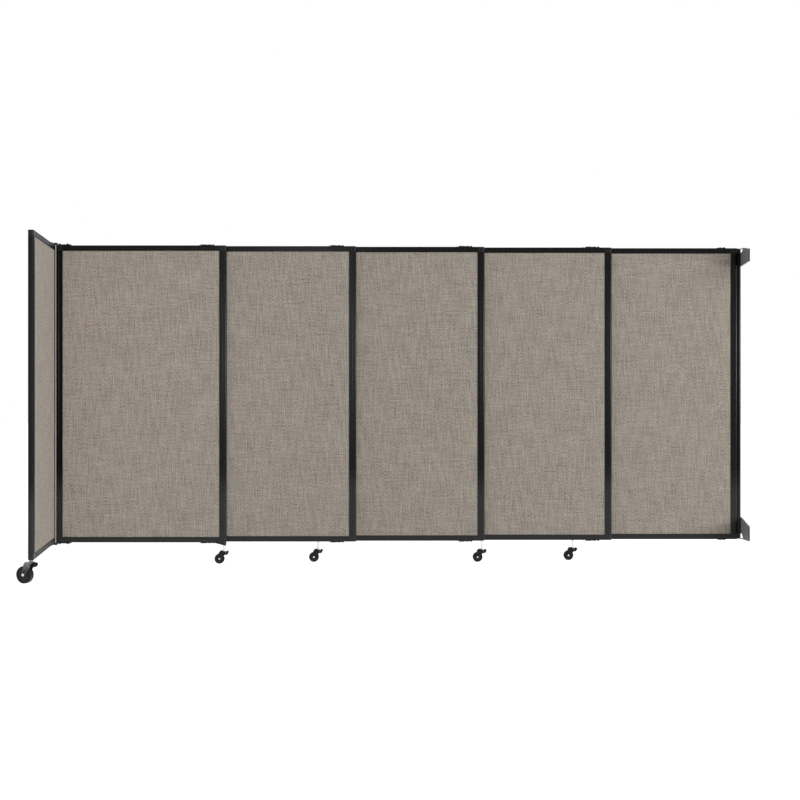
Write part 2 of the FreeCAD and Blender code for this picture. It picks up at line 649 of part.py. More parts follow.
def caster(kind):
    """The stem, fork, axle, wheel and brake pedal of one size of caster."""
    v = SimpleNamespace(**{
        name[len(kind):]: value for name, value in vars(d).items() if name.startswith(kind)
    })
    hub = (-v.Trail, v.WheelRadius)
    inside = v.WheelWidth / 2 + d.cheekGap
    outside = inside + d.cheekThick
    crosswise = Vector(0, -1, 0)

    rod_low = v.HeadBase - d.stemFootGap - d.stemFoot
    foot_radius = f"{kind}StemRadius + cheekGap"
    rod_length = f"floorClear + stemBite - {kind}HeadBase + stemFootGap + stemFoot - cheekGap"
    rod = cylinder(kind + "Rod", kind + "StemRadius", rod_length, (0, 0, rod_low))
    foot = cylinder(kind + "Foot", foot_radius, "stemFoot", (0, 0, rod_low))
    nut_low = d.floorClear - d.stemCollar
    nut = cylinder(kind + "Nut", f"{kind}StemRadius + cheekThick", "stemCollar", (0, 0, nut_low))
    stem = fuse(kind + "Stem", [rod, foot, nut])

    shoulder = (v.ShoulderX, v.ShoulderZ)
    cheek_outline = link_outline(hub, v.CheekFoot, shoulder, v.CheekTop)
    cheeks = []
    for side, name in ((-1, "Front"), (1, "Back")):
        cheek = padded(kind + name + "Cheek", "XZ_Plane", [cheek_outline], "cheekThick", symmetric=True)
        cheek.Placement.Base.y = side * (inside + outside) / 2
        cheeks.append(cheek)
    head = cylinder(kind + "Head", kind + "HeadRadius", f"{kind}HeadTop - {kind}HeadBase", (0, 0, v.HeadBase))
    bridge = box(
        kind + "Bridge",
        (f"2 * {kind}HeadRadius - cheekGap",
         f"{kind}WheelWidth + 2 * cheekGap + 2 * cheekThick",
         f"{kind}HeadTop - {kind}HeadBase - 2 * cheekGap"),
        (f"-{kind}HeadRadius",
         f"-{kind}WheelWidth / 2 - cheekGap - cheekThick",
         f"{kind}HeadBase + cheekGap"),
    )
    span = f"{kind}WheelWidth + 2 * cheekGap + 4 * cheekThick"
    span_start = outside + d.cheekThick
    stem_bore = cylinder(kind + "StemBore", f"{kind}StemRadius + runningGap",
                         f"2 * ({kind}HeadTop - {kind}HeadBase)", (0, 0, v.HeadBase - d.stemFoot))
    axle_bore = cylinder(kind + "AxleBore", f"{kind}AxleRadius + screwGap", span,
                         (hub[0], span_start, hub[1]), crosswise)
    pedal_bore = cylinder(kind + "PedalBore", f"{kind}PedalPin + runningGap", span,
                          (v.PedalX, span_start, v.PedalZ), crosswise)
    fork = cut(kind + "Fork", fuse(kind + "ForkSolid", cheeks + [head, bridge]),
               [stem_bore, axle_bore, pedal_bore])

    shaft = cylinder(kind + "Shaft", kind + "AxleRadius", f"{kind}WheelWidth + 2 * cheekGap + 2 * cheekThick",
                     (hub[0], outside, hub[1]), crosswise)
    caps = [
        cylinder(kind + name + "Cap", f"{kind}AxleRadius + cheekGap", "axleHead",
                 (hub[0], start, hub[1]), crosswise)
        for name, start in (("Front", -outside), ("Back", outside + d.axleHead))
    ]
    axle = fuse(kind + "Axle", [shaft] + caps)

    side = v.WheelWidth / 2
    bore, big = v.AxleRadius + d.runningGap, v.WheelRadius
    bevel = v.TreadBevel
    hub_edge, rim_edge = big * 0.4, big * 0.72
    dish = side - d.cheekThick
    wheel = revolved(kind + "Wheel", "XY_Plane", [
        (bore, -side),
        (hub_edge, -side),
        (hub_edge, -dish),
        (rim_edge, -dish),
        (rim_edge, -side),
        (big - bevel, -side),
        (big, bevel - side),
        (big, side - bevel),
        (big - bevel, side),
        (rim_edge, side),
        (rim_edge, dish),
        (hub_edge, dish),
        (hub_edge, side),
        (bore, side),
    ])

    round_wheel = math.radians(v.ShoeAngle)
    shoe_out = v.WheelRadius + v.ShoeGap + v.ShoeRadius
    shoe = (hub[0] + shoe_out * math.cos(round_wheel), hub[1] + shoe_out * math.sin(round_wheel))
    pivot = (v.PedalX, v.PedalZ)
    boss = v.PedalPin + d.cheekGap
    width = f"{kind}WheelWidth + 2 * cheekGap - 2 * pedalSideGap"
    lever_outline = link_outline(shoe, v.ShoeRadius, pivot, boss)
    lever = padded(kind + "Lever", "XZ_Plane", [lever_outline], width, symmetric=True)
    heel = (v.HeelX, v.HeelZ)
    bar_outline = link_outline(shoe, v.ShoeRadius, heel, v.HeelRadius)
    bar = padded(kind + "Bar", "XZ_Plane", [bar_outline], width, symmetric=True)
    tab_outline = link_outline((v.TabX, v.TabZ), v.TabRadius, heel, v.HeelRadius)
    tab = padded(kind + "Tab", "XZ_Plane", [tab_outline], width, symmetric=True)
    pin = cylinder(kind + "Pin", kind + "PedalPin", f"{kind}WheelWidth + 2 * cheekGap + 2 * cheekThick",
                   (v.PedalX, outside, v.PedalZ), crosswise)
    pedal = fuse(kind + "Pedal", [lever, bar, tab, pin])

    return SimpleNamespace(
        stem=stem, fork=fork, axle=axle, wheel=wheel, pedal=pedal,
        hub=Vector(hub[0], 0, hub[1]), pivot=Vector(v.PedalX, 0, v.PedalZ),
    )


# Masters of every piece

stile_master = stile()
rail_plain = rail()
from_left = [d.bracketInset + d.bracketLength - along for along in screw_along]
from_right = [d.panelWidth - distance for distance in from_left]
rail_masters = {
    "middle": drilled_rail("middleRail", rail_plain, from_left + from_right),
    "first": drilled_rail("firstRail", rail_plain, [d.leafScrewFar] + from_right),
    "end": drilled_rail("endRail", rail_plain, [d.panelWidth - d.leafScrewFar]),
}
corner_plain = corner_block()
screw_hole = ("screwRadius + screwGap", "screwBite + screwHeadHeight")
corner_hinged = bored_corner("hingeCorner", corner_plain, *screw_hole, d.leafScrewNear)
stem_hole = ("StemRadius + screwGap", "stemBite", d.stemInset)
corner_small = bored_corner("smallCorner", corner_plain, "small" + stem_hole[0], *stem_hole[1:])
corner_large = bored_corner("largeCorner", corner_plain, "large" + stem_hole[0], *stem_hole[1:])
corner_footed = footed_corner(corner_small)
board_master = board()
glide_top = glide_bracket()
glide_pair = (glide_top, mirrored("glideBracketLow", glide_top))
stop_top = stop_plate()
stop_pair = (stop_top, mirrored("stopPlateLow", stop_top))
bracket_screw = screw("bracketScrew", d.bracketBase, d.screwHeadRadius, d.screwHeadHeight)
leaf_screw = screw("leafScrew", d.leafThick, d.leafHeadRadius, d.leafHeadHeight)
fixed_top = fixed_leaf()
fixed_bottom = mirrored("fixedLeafLow", fixed_top)
moving_top = moving_leaf()
moving_bottom = mirrored("movingLeafLow", moving_top)
bracket_top = wall_bracket("upper", d.upperNotchDeep, d.upperPostDeep, d.upperEndNear, d.upperEndDeep)
bracket_low = wall_bracket("lower", d.lowerNotchDeep, d.lowerPostDeep, d.lowerEndNear, d.lowerEndDeep)
bracket_bottom = mirrored("lowerBracketTurned", bracket_low)
bush_top = bush()
bush_bottom = mirrored("bushLow", bush_top)
post_master = pivot_post()
small_caster = caster("small")
large_caster = caster("large")

# Where each panel stands: panel 5 ends at zero, the others step towards -X and -Y

overlap = 2 * (d.bracketInset + d.bracketLength) + d.stopGap
pitch = d.panelWidth - overlap
slide_travel = pitch - d.reachLength - d.stopGap
panel_names = ["panel_1", "panel_2", "panel_3", "panel_4", "panel_5"]
stand = {}
for steps, name in enumerate(reversed(panel_names)):
    left_end = Vector(-steps * pitch - d.panelWidth, -steps * d.depthPitch, d.floorClear)
    stand[name] = Placement(left_end, Rotation())
first_corner = stand["panel_1"].Base
hinge_axis = first_corner + Vector(d.hingeInset, -half - d.hingeGap, 0)
hinge_turn = Placement(hinge_axis, Rotation(Vector(0, 0, 1), 180 - d.endAngle))
stand["end_panel"] = hinge_turn.multiply(
    Placement(Vector(-d.hingeEndGap - d.panelWidth, d.hingeGap + half, 0), Rotation())
)
post_axis = Vector(post_offset, 0, d.floorClear)

upside_down = Rotation(Vector(1, 0, 0), 180)
turned_round = Rotation(Vector(0, 0, 1), 180)
turned_over = Rotation(Vector(0, 1, 0), 180)
upright = Rotation()

# Nodes: each is a group of one or more placed copies of the masters

nodes = []


def node(label, copies):
    placed = []
    for master, placement in copies:
        copy = doc.addObject("App::Link", "copy")
        copy.LinkedObject = master
        copy.LinkTransform = True
        copy.Placement = placement
        placed.append(copy)
    group = doc.addObject("Part::Compound", "node")
    group.Links = placed
    group.Label = label
    nodes.append(group)


def on_panel(panel, x, z, rotation=upright):
    return stand[panel].multiply(Placement(Vector(x, 0, z), rotation))


def frame_nodes(panel, rail_master, corners):
    """Stiles, rails, corner blocks and board; corners run from lower left round to upper left."""
    wide, tall = d.panelWidth, d.frameHeight
    left, right = d.stileWidth, d.panelWidth - d.stileWidth
    node(panel + "_stiles_and_rails", [
        (stile_master, on_panel(panel, left, d.railHeight, turned_round)),
        (stile_master, on_panel(panel, right, d.railHeight)),
        (rail_master, on_panel(panel, left, d.railHeight, upside_down)),
        (rail_master, on_panel(panel, left, tall - d.railHeight)),
    ])
    lower_left, lower_right, upper_right, upper_left = corners
    node(panel + "_corner_blocks", [
        (lower_left, on_panel(panel, left, 0, turned_round)),
        (lower_right, on_panel(panel, right, 0)),
        (upper_right, on_panel(panel, right, tall, upside_down)),
        (upper_left, on_panel(panel, left, tall, turned_over)),
    ])
    node(panel + "_board", [(board_master, stand[panel])])


def bracket_copies(panel, left_pair, right_pair):
    """Brackets at the left end reach forward, those at the right end reach back."""
    near = d.bracketInset + d.bracketLength
    far = d.panelWidth - near
    copies = []
    for height, level in ((d.frameHeight, 0), (0, 1)):
        if left_pair:
            copies.append((left_pair[level], on_panel(panel, near, height, turned_round)))
        copies.append((right_pair[level], on_panel(panel, far, height)))
    return copies


def screw_copies(panel, master, plate_thick, distances):
    copies = []
    for distance in distances:
        copies.append((master, on_panel(panel, distance, d.frameHeight + plate_thick)))
        copies.append((master, on_panel(panel, distance, -plate_thick, upside_down)))
    return copies


# Panels
plain = corner_plain
frame_nodes("end_panel", rail_masters["end"], (corner_large, corner_hinged, corner_hinged, plain))
frame_nodes("panel_1", rail_masters["first"], (corner_hinged, corner_footed, plain, corner_hinged))
frame_nodes("panel_2", rail_masters["middle"], (plain, plain, plain, plain))
frame_nodes("panel_3", rail_masters["middle"], (corner_small, corner_small, plain, plain))
frame_nodes("panel_4", rail_masters["middle"], (plain, plain, plain, plain))
frame_nodes("panel_5", rail_masters["middle"], (corner_small, plain, plain, plain))

# Glide brackets and screws
for panel in panel_names:
    left_bracket = None if panel == "panel_1" else glide_pair
    right_bracket = stop_pair if panel == "panel_5" else glide_pair
    node(panel + "_glide_brackets", bracket_copies(panel, left_bracket, right_bracket))
leaf_distances = (d.leafScrewNear, d.leafScrewFar)
for panel in panel_names:
    if panel == "panel_1":
        copies = screw_copies(panel, bracket_screw, d.bracketBase, from_right)
        copies += screw_copies(panel, leaf_screw, d.leafThick, leaf_distances)
    else:
        copies = screw_copies(panel, bracket_screw, d.bracketBase, from_left + from_right)
    node(panel + "_screws", copies)
end_distances = [d.panelWidth - distance for distance in leaf_distances]
node("end_panel_screws", screw_copies("end_panel", leaf_screw, d.leafThick, end_distances))

# End hinge
hinge_top = Vector(0, 0, d.frameHeight)
fixed_foot = Placement(hinge_axis, upright)
fixed_head = Placement(hinge_axis + hinge_top, upright)
node("end_hinge_fixed_leaves", [(fixed_top, fixed_head), (fixed_bottom, fixed_foot)])
moving_head = Placement(hinge_turn.Base + hinge_top, hinge_turn.Rotation)
node("end_hinge_moving_leaves", [(moving_top, moving_head), (moving_bottom, hinge_turn)])

# Wall pivot
wall_foot = Placement(post_axis, upright)
wall_head = Placement(post_axis + hinge_top, upright)
node("wall_bracket_top", [(bracket_top, wall_head)])
node("wall_bracket_bottom", [(bracket_bottom, wall_foot)])
node("wall_pivot_bushes", [(bush_top, wall_head), (bush_bottom, wall_foot)])
node("wall_pivot_post", [(post_master, wall_foot)])

# Casters
end_turn = Rotation(Vector(0, 0, 1), -d.endCasterTurn)
far_stem = d.panelWidth - d.stemInset
caster_places = {
    "end_caster": (large_caster, "end_panel", d.stemInset, end_turn),
    "panel_1_caster": (small_caster, "panel_1", far_stem, upright),
    "panel_3_left_caster": (small_caster, "panel_3", d.stemInset, upright),
    "panel_3_right_caster": (small_caster, "panel_3", far_stem, upright),
    "panel_5_caster": (small_caster, "panel_5", d.stemInset, upright),
}
stems = {}
caster_stands = {}
for name, (kind, panel, along, turn) in caster_places.items():
    spot = on_panel(panel, along, -d.floorClear).Base
    placement = Placement(spot, turn)
    caster_stands[name] = placement
    stems.setdefault(panel, []).append((kind.stem, placement))
    node(name + "_fork", [(kind.fork, placement)])
    node(name + "_axle", [(kind.axle, placement)])
    node(name + "_wheel", [(kind.wheel, placement.multiply(Placement(kind.hub, Rotation())))])
    node(name + "_brake_pedal", [(kind.pedal, placement)])
for panel, copies in stems.items():
    node(panel + "_caster_stems", copies)
doc.recompute()

# The origin is on the floor under the middle of the whole divider

whole = FreeCAD.BoundBox()
for group in nodes:
    whole.add(group.Shape.optimalBoundingBox(False))
shift = Vector(-whole.Center.x, -whole.Center.y, -whole.ZMin)
for group in nodes:
    group.Placement = Placement(shift, upright)
doc.recompute()

for item in doc.Objects:
    if "Invalid" in item.State or "Error" in item.State:
        raise RuntimeError(f"{item.Label} failed: {item.State}")
for group in nodes:
    if group.Shape.isNull() or not group.Shape.isValid():
        raise RuntimeError(f"{group.Label} has no valid shape")

os.makedirs("parts", exist_ok=True)
for group in nodes:
    group.Shape.exportStep(os.path.join("parts", group.Label + ".step"))


def report_point(label, point):
    moved = point + shift
    print(f"{label} {moved.x:.4f} {moved.y:.4f} {moved.z:.4f}")


report_point("wall_pivot", post_axis)
report_point("end_hinge", hinge_axis)
wall_screw_middle = Vector(
    d.wallOffset, -d.wallHoleNear - d.wallHoleSpacing / 2, d.frameHeight / 2
)
report_point("wall_screws", post_axis + wall_screw_middle)
for name, placement in caster_stands.items():
    kind = caster_places[name][0]
    report_point(name + "_swivel", placement.Base)
    report_point(name + "_hub", placement.multVec(kind.hub))
    report_point(name + "_brake", placement.multVec(kind.pivot))
print(f"slide_travel {slide_travel:.4f}")
print(f"overlap {overlap:.4f}")
size_text = " x ".join(f"{length:.1f}" for length in (whole.XLength, whole.YLength, whole.ZLength))
print(f"{len(nodes)} nodes, {size_text} mm")
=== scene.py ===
import json
import math

import bmesh
import bpy
import numpy as np
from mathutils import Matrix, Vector


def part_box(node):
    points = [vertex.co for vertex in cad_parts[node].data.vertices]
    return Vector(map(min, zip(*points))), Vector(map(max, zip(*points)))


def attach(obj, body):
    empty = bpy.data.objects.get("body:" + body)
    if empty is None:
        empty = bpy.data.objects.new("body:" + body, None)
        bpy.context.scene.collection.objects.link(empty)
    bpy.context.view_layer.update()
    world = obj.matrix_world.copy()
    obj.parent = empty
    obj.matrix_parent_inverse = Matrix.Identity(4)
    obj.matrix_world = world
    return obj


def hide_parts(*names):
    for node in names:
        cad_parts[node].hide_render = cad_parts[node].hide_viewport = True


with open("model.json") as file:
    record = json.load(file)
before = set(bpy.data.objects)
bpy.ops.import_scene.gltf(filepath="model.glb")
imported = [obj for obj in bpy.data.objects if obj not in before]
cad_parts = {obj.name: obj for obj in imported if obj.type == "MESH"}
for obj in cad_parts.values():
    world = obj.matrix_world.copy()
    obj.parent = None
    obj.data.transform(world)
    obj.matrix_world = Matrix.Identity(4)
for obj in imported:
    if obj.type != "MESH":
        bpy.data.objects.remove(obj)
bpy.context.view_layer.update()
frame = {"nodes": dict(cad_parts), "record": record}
nodes = frame["nodes"]
panels = ["end_panel", "panel_1", "panel_2", "panel_3", "panel_4", "panel_5"]
casters = ["end_caster", "panel_1_caster", "panel_3_left_caster", "panel_3_right_caster", "panel_5_caster"]
print("frame:", len(nodes), "nodes")


def jointNamed(name):
    return next(joint for joint in frame["record"]["behaviour"]["joints"] if joint["name"] == name)


def meshPoints(node):
    spots = np.empty(len(nodes[node].data.vertices) * 3, np.float32)
    nodes[node].data.vertices.foreach_get("co", spots)
    return spots.reshape(-1, 3).astype(float)


def placed(name, data):
    holder = bpy.data.objects.new(name, data)
    bpy.context.scene.collection.objects.link(holder)
    return holder


# shader sockets as values in Python expressions

class Value:
    def __init__(self, shading, socket):
        self.shading = shading
        self.socket = socket

    def maths(self, operation, *terms):
        return self.shading.node("ShaderNodeMath", {"operation": operation}, dict(enumerate(terms)))

    def sine(self):
        return self.maths("SINE", self)

    def __add__(self, other):
        return self.maths("ADD", self, other)

    def __radd__(self, other):
        return self.maths("ADD", other, self)

    def __sub__(self, other):
        return self.maths("SUBTRACT", self, other)

    def __rsub__(self, other):
        return self.maths("SUBTRACT", other, self)

    def __mul__(self, other):
        return self.maths("MULTIPLY", self, other)


class Shading:
    def __init__(self, owner, outputKind="ShaderNodeOutputMaterial"):
        owner.use_nodes = True
        self.owner = owner
        self.tree = owner.node_tree
        self.tree.nodes.clear()
        self.output = self.tree.nodes.new(outputKind)

    def node(self, kind, settings=None, inputs=None, out=0):
        made = self.tree.nodes.new(kind)
        for name, setting in (settings or {}).items():
            setattr(made, name, setting)
        for key, given in (inputs or {}).items():
            if isinstance(given, Value):
                self.tree.links.new(given.socket, made.inputs[key])
            else:
                made.inputs[key].default_value = given
        return Value(self, made.outputs[out])

    def here(self):  # place on the piece in metres
        return self.node("ShaderNodeTexCoord", out="Object")

    def noise(self, place, scale, detail):  # scale per metre along each axis; from -0.5 to 0.5
        spread = self.node("ShaderNodeMapping", None, {"Vector": place, "Scale": scale})
        sizes = {"Vector": spread, "Scale": 1.0, "Detail": detail}
        return self.node("ShaderNodeTexNoise", {"noise_dimensions": "3D"}, sizes) - 0.5

    def clip(self, value, low=0.0, high=1.0):
        held = {"Value": value, "From Min": low, "From Max": high, "To Min": low, "To Max": high}
        return self.node("ShaderNodeMapRange", {"clamp": True}, held)

    def rise(self, value, low, high):  # 0 at low, 1 at high
        steps = {"Value": value, "From Min": low, "From Max": high}
        return self.node("ShaderNodeMapRange", {"interpolation_type": "SMOOTHSTEP"}, steps)

    def blend(self, share, first, second):  # colour from first to second
        ends = [end if isinstance(end, Value) else (*end, 1) for end in (first, second)]
        return self.node("ShaderNodeMix", {"data_type": "RGBA"}, {0: share, 6: ends[0], 7: ends[1]}, out=2)

    def part(self, vector, axis):
        return self.node("ShaderNodeSeparateXYZ", None, {0: vector}, out=axis)

    def joined(self, across, up):
        return self.node("ShaderNodeCombineXYZ", None, {0: across, 1: up})

    def bump(self, height, relief):  # relief: depth in metres, strength
        sizes = {"Height": height, "Distance": relief[0], "Strength": relief[1]}
        return self.node("ShaderNodeBump", None, sizes)

    def seen(self):  # 1 where the camera sees it, also in a reflection or through glass
        kinds = ("Camera", "Glossy", "Transmission")
        camera, glossy, through = (self.node("ShaderNodeLightPath", out=f"Is {kind} Ray") for kind in kinds)
        return self.clip(camera + glossy + through)

    def surface(self, shader):
        self.tree.links.new(shader.socket, self.output.inputs["Surface"])
        return self.owner

    def principled(self, fixed, **varying):
        return self.surface(self.node("ShaderNodeBsdfPrincipled", None, {**fixed, **varying}))


def newFinish(name):
    return Shading(bpy.data.materials.new(name))


# finishes; noise scales are cells per metre, and a noise's share of the tone or roughness is named after it

cloth = {
    "tone": (0.283, 0.251, 0.213),
    "contrast": 0.71,  # dark and light yarns, as a share of the tone
    "hue": 0.034,  # pinkish and greenish patches, as a share of the tone
    "speck": (430.0, 120.0, 1.0),  # across and up
    "speckTone": 0.95,
    "warpStreak": (250.0, 11.0, 1.0),
    "warpTone": 0.8,
    "warpLean": 14.0,  # shift of each streak from its neighbour, so that they don't start in rows
    "weftStreak": (8.0, 230.0, 1.0),
    "weftTone": 0.48,
    "weftLean": 17.8,
    "blotch": (12.0, 10.0, 1.0),
    "blotchTone": 0.12,
    "patch": (42.0, 34.0, 1.0),
    "patchTone": 2.4,
    "threadsPerMetre": 780.0,
    "threadRelief": 0.5,
    "streakRelief": 0.9,
    "relief": (0.0005, 0.4),
    "roughness": 0.92,
    "sheen": 0.06,
    "sheenRoughness": 0.6,
    "specular": 0.08,
}


def shade(tone, amount, hue=0.0):  # a lighter or darker tone, turned a little to red or green
    redGreenBlue = (1, -1, -0.3)
    return tuple(level * (1 + amount) * (1 + turn * hue) for level, turn in zip(tone, redGreenBlue))


def wovenCloth():
    made = newFinish("taupe_cloth")
    place = made.node("ShaderNodeUVMap", {"uv_map": "weave"})
    across, up = made.part(place, 0), made.part(place, 1)
    speck = made.noise(place, cloth["speck"], 0.0)
    warp = made.noise(made.joined(across, up + across * cloth["warpLean"]), cloth["warpStreak"], 1.0)
    weft = made.noise(made.joined(across + up * cloth["weftLean"], up), cloth["weftStreak"], 1.0)
    blotch = made.noise(place, cloth["blotch"], 2.0)
    patch = made.noise(place, cloth["patch"], 1.0)
    streaks = warp * cloth["warpTone"] + weft * cloth["weftTone"]
    tone = made.clip(0.5 + speck * cloth["speckTone"] + streaks + blotch * cloth["blotchTone"])
    away, turned = cloth["contrast"], cloth["hue"]
    pinkish = made.blend(tone, shade(cloth["tone"], -away, turned), shade(cloth["tone"], away, turned))
    greenish = made.blend(tone, shade(cloth["tone"], -away, -turned), shade(cloth["tone"], away, -turned))
    colour = made.blend(made.clip(0.5 + patch * cloth["patchTone"]), greenish, pinkish)
    turn = 2 * math.pi * cloth["threadsPerMetre"]
    crossings = (across * turn).sine() * (up * turn).sine()
    threads = crossings * cloth["threadRelief"] + (warp + weft) * cloth["streakRelief"]
    fixed = {
        "Roughness": cloth["roughness"],
        "Sheen Weight": cloth["sheen"],
        "Sheen Roughness": cloth["sheenRoughness"],
        "Specular IOR Level": cloth["specular"],
    }
    return made.principled(fixed, **{"Base Color": colour, "Normal": made.bump(threads, cloth["relief"])})


floorReflection = {  # painted reflection of the floor: black pieces turn paler towards the floor
    "tone": (0.027, 0.027, 0.0272),
    "top": 0.47,
    "fade": 0.16,
    "uneven": 0.1,
}


# share of the painted floor reflection: full low down, fading to nil at the top, a little uneven
def floorReflectionShare(made, place, unevenness):
    height = made.part(place, 2) + unevenness * floorReflection["uneven"]
    return 1 - made.rise(height, floorReflection["top"] - floorReflection["fade"], floorReflection["top"])


bars = {
    "dark": (0.0020, 0.0020, 0.0022),
    "light": (0.0044, 0.0044, 0.0048),
    "grain": (900.0, 900.0, 60.0),
    "grainTone": 0.8,
    "grainRough": 0.05,
    # grain's share of the painted floor reflection
    "grainReflection": 0.5,
    "smudge": (9.0, 9.0, 5.0),
    "smudgeTone": 0.5,
    "smudgeRough": 0.1,
    # strength of the painted floor reflection
    "dustAndReflection": 0.8,
    "dustRough": 0.08,
    "roughness": 0.17,
    "roughRange": (0.1, 0.6),
    "relief": (0.00006, 0.25),
    "specular": 0.1,
}
hazyBars = {**bars, "roughness": 0.45}  # the end panel is handled most


def anodisedBlack(name, bar):
    made = newFinish(name)
    place = made.here()
    grain = made.noise(place, bar["grain"], 2.0)
    smudge = made.noise(place, bar["smudge"], 3.0)
    # painted reflection of the floor: the base colour turns paler towards the floor, and rougher there
    dustAndReflection = floorReflectionShare(made, place, smudge)
    tone = made.clip(0.5 + grain * bar["grainTone"] + smudge * bar["smudgeTone"])
    clean = made.blend(tone, bar["dark"], bar["light"])
    colour = made.blend(made.clip(dustAndReflection * (bar["dustAndReflection"] + grain * bar["grainReflection"])), clean, floorReflection["tone"])
    marks = smudge * bar["smudgeRough"] + grain * bar["grainRough"] + dustAndReflection * bar["dustRough"]
    return made.principled({"Specular IOR Level": bar["specular"]}, **{
        "Base Color": colour,
        "Roughness": made.clip(bar["roughness"] + marks, *bar["roughRange"]),
        "Normal": made.bump(grain, bar["relief"]),
    })


moulded = {
    "dark": (0.0035, 0.0035, 0.0035),
    "light": (0.0085, 0.0085, 0.0087),
    "middle": 0.45,  # tone between dark and light where the noise is nil
    "pebble": (1400.0, 1400.0, 1400.0),
    "scuff": (60.0, 60.0, 90.0),
    "scuffTone": 0.9,
    "scuffRough": 0.25,
    # strength of the painted floor reflection
    "dustAndReflection": 0.6,
    "roughness": 0.36,
    "roughRange": (0.2, 0.8),
    "relief": (0.0001, 0.4),
    "specular": 0.14,
}
pedals = {
    **moulded,
    "dark": (0.0016, 0.0016, 0.0016),
    "light": (0.004, 0.004, 0.004),
    # strength of the painted floor reflection
    "dustAndReflection": 0.05,
    "roughness": 0.5,
    "specular": 0.08,
}


def mouldedBlack(name, mould):
    made = newFinish(name)
    place = made.here()
    pebble = made.noise(place, mould["pebble"], 2.0)
    scuff = made.noise(place, mould["scuff"], 3.0)
    # painted reflection of the floor: the base colour turns paler towards the floor
    dustAndReflection = floorReflectionShare(made, place, scuff)
    clean = made.blend(made.clip(mould["middle"] + scuff * mould["scuffTone"]), mould["dark"], mould["light"])
    colour = made.blend(made.clip(dustAndReflection * mould["dustAndReflection"]), clean, floorReflection["tone"])
    return made.principled({"Specular IOR Level": mould["specular"]}, **{
        "Base Color": colour,
        "Roughness": made.clip(mould["roughness"] + scuff * mould["scuffRough"], *mould["roughRange"]),
        "Normal": made.bump(pebble, mould["relief"]),
    })


coated = {
    "dark": (0.0035, 0.0035, 0.0035),
    "light": (0.008, 0.008, 0.0082),
    "middle": 0.45,
    "peel": (700.0, 700.0, 700.0),
    "worn": (40.0, 40.0, 40.0),
    "wornTone": 0.8,
    "wornRough": 0.2,
    "roughness": 0.3,
    "roughRange": (0.2, 0.7),
    "relief": (0.00015, 0.4),
    "specular": 0.16,
    "bloom": 0.0,  # fine texture of the coat, pale when seen edge on
    "bloomRoughness": 0.3,
}
plates = {**coated, "roughness": 0.5, "bloom": 1.0}


def powderBlack(name, coat):
    made = newFinish(name)
    place = made.here()
    peel = made.noise(place, coat["peel"], 2.0)
    worn = made.noise(place, coat["worn"], 3.0)
    tone = made.clip(coat["middle"] + worn * coat["wornTone"])
    fixed = {
        "Specular IOR Level": coat["specular"],
        "Sheen Weight": coat["bloom"],
        "Sheen Roughness": coat["bloomRoughness"],
    }
    return made.principled(fixed, **{
        "Base Color": made.blend(tone, coat["dark"], coat["light"]),
        "Roughness": made.clip(coat["roughness"] + worn * coat["wornRough"], *coat["roughRange"]),
        "Normal": made.bump(peel, coat["relief"]),
    })


plated = {
    "dark": (0.42, 0.42, 0.43),
    "light": (0.72, 0.72, 0.73),
    "middle": 0.6,
    "rings": (120.0, 120.0, 2200.0),
    "ringTone": 0.5,
    "ringRough": 0.1,
    "cloud": (150.0, 150.0, 150.0),
    "cloudTone": 0.6,
    "cloudRough": 0.3,
    "roughness": 0.24,
    "roughRange": (0.1, 0.6),
}
greased = {**plated, "dark": (0.03, 0.03, 0.031), "light": (0.24, 0.24, 0.245), "roughness": 0.3}


def platedSteel(name, plate):
    made = newFinish(name)
    place = made.here()
    rings = made.noise(place, plate["rings"], 2.0)
    cloud = made.noise(place, plate["cloud"], 3.0)
    tone = made.clip(plate["middle"] + rings * plate["ringTone"] + cloud * plate["cloudTone"])
    rough = plate["roughness"] + cloud * plate["cloudRough"] + rings * plate["ringRough"]
    return made.principled({"Metallic": 1.0}, **{
        "Base Color": made.blend(tone, plate["dark"], plate["light"]),
        "Roughness": made.clip(rough, *plate["roughRange"]),
    })


dulled = {
    "dark": (0.022, 0.022, 0.023),
    "light": (0.22, 0.22, 0.225),
    "lowest": 0.12,  # tone at the axle; it rises towards the head
    "headTone": 0.62,
    "headRise": (0.052, 0.092),
    "drawn": (500.0, 500.0, 70.0),
    "drawnTone": 0.4,
    "stain": (70.0, 70.0, 70.0),
    "stainTone": 0.5,
    "stainRough": 0.3,
    "roughness": 0.38,
    "roughRange": (0.2, 0.7),
    "relief": (0.00005, 0.3),
}


def dulledSteel():
    made = newFinish("dulled_steel")
    place = made.here()
    drawn = made.noise(place, dulled["drawn"], 2.0)
    stain = made.noise(place, dulled["stain"], 3.0)
    upper = made.rise(made.part(place, 2), *dulled["headRise"])
    marks = drawn * dulled["drawnTone"] + stain * dulled["stainTone"]
    tone = made.clip(dulled["lowest"] + upper * dulled["headTone"] + marks)
    return made.principled({"Metallic": 1.0}, **{
        "Base Color": made.blend(tone, dulled["dark"], dulled["light"]),
        "Roughness": made.clip(dulled["roughness"] + stain * dulled["stainRough"], *dulled["roughRange"]),
        "Normal": made.bump(drawn, dulled["relief"]),
    })


tread = {
    "tyreDark": (0.003, 0.003, 0.003),
    "tyreLight": (0.0085, 0.0085, 0.0083),
    "hubDark": (0.011, 0.011, 0.011),
    "hubLight": (0.021, 0.021, 0.0208),
    "middle": 0.45,
    "dustAndReflection": (110.0, 110.0, 110.0),
    "dustTone": 1.2,
    "dustRough": 0.4,
    "pores": (900.0, 900.0, 900.0),
    "roughness": 0.4,
    "roughRange": (0.2, 0.8),
    "relief": (0.0001, 0.3),
    "specular": 0.2,
}


